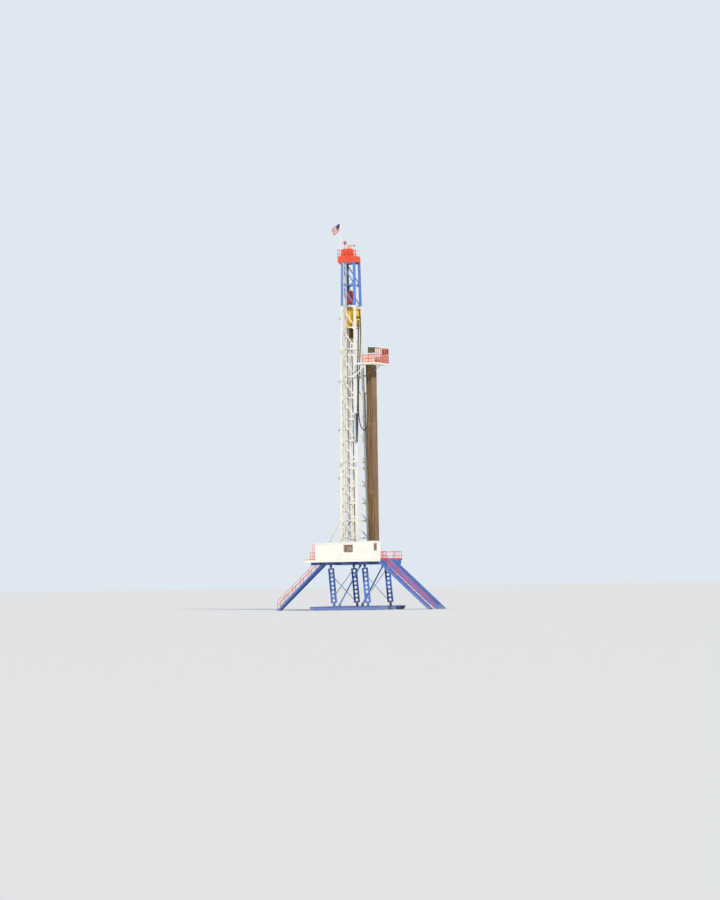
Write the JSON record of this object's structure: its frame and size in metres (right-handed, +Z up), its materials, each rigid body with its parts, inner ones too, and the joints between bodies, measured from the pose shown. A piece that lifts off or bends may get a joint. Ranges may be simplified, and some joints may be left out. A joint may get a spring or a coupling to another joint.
{
  "type": "oil drilling rig (1:2 scale model)",
  "caption": "Land drilling rig with a tapered open-front lattice mast on a raised drill floor, with doghouse, racking board, racked pipe, ramp and stairs; the hoist slides up and down the mast.",
  "frame": {"origin": "the well centre at ground level, in the plane of the base skids' underside", "axes": "+X towards the pipe ramp, +Y away from the doghouse, +Z up the mast"},
  "size_m": [13.4068, 5.942, 28.103],
  "materials": {
    "blue_paint": "satin paint, chalky and dusty",
    "white_paint": "satin paint with dust and rust runs",
    "orange_paint": "satin paint",
    "red_paint": "satin paint",
    "yellow_paint": "satin paint with grease",
    "salmon_paint": "faded paint",
    "grey_paint": "satin paint",
    "deck_steel": "chequered plate, worn",
    "bare_steel": "oiled steel",
    "brown_steel": "greasy steel",
    "pipe_steel": "lightly rusted pipe",
    "wire_rope": "greased wire rope",
    "rubber": "matt",
    "olive_sheet": "heavy sheet",
    "flag_cloth": "woven cloth",
    "timber": "rough sawn",
    "window_glass": "clear"
  },
  "bodies": {
    "rig": {"base_frame": "blue_paint", "floor_columns": "blue_paint", "leg_braces": "blue_paint", "floor_frame": "blue_paint", "deck": "deck_steel", "rotary_table": "red_paint", "setback": "timber", "mast_near_lower": "white_paint", "mast_near_middle": "white_paint", "mast_near_upper": "white_paint", "mast_far_lower": "white_paint", "mast_far_middle": "white_paint", "mast_far_upper": "white_paint", "mast_back_lower": "white_paint", "mast_back_middle": "white_paint", "mast_back_upper": "white_paint", "mast_shoes": "white_paint", "back_struts": "white_paint", "ladder": "white_paint", "crown_frame": "orange_paint", "crown_sheaves": "bare_steel", "crown_housing": "orange_paint", "crown_rails": "white_paint", "flagpole": "white_paint", "flag": "flag_cloth", "board_frame": "white_paint", "board_fingers": "white_paint", "board_panels": "salmon_paint", "board_shelter": "olive_sheet", "board_canopy": "white_paint", "pipe_stands": "pipe_steel", "guide_rail": "bare_steel", "standpipe": "grey_paint", "rotary_hose": "rubber", "service_loop": "rubber", "drilling_lines": "wire_rope", "fast_line": "wire_rope", "drill_stem": "pipe_steel", "drawworks": "blue_paint", "doghouse_brackets": "blue_paint", "doghouse_floor": "white_paint", "doghouse_shell": "white_paint", "doghouse_roof": "white_paint", "doghouse_door": "white_paint", "doghouse_glass": "window_glass", "pipe_ramp": "blue_paint", "front_stair": "blue_paint", "rear_stair": "blue_paint", "stair_rails": "orange_paint", "floor_rails": "orange_paint"},
    "hoist": {"travelling_block": "red_paint", "top_drive": "yellow_paint", "pipe_handler": "brown_steel", "elevator": "yellow_paint"}
  },
  "joints": [
    {"name": "hoist_travel", "type": "slide", "parent": "rig", "child": "hoist", "axis": [0, 0, 1], "range_m": [-15, 1], "deforming": ["drilling_lines", "drill_stem", "rotary_hose", "service_loop"]}
  ]
}
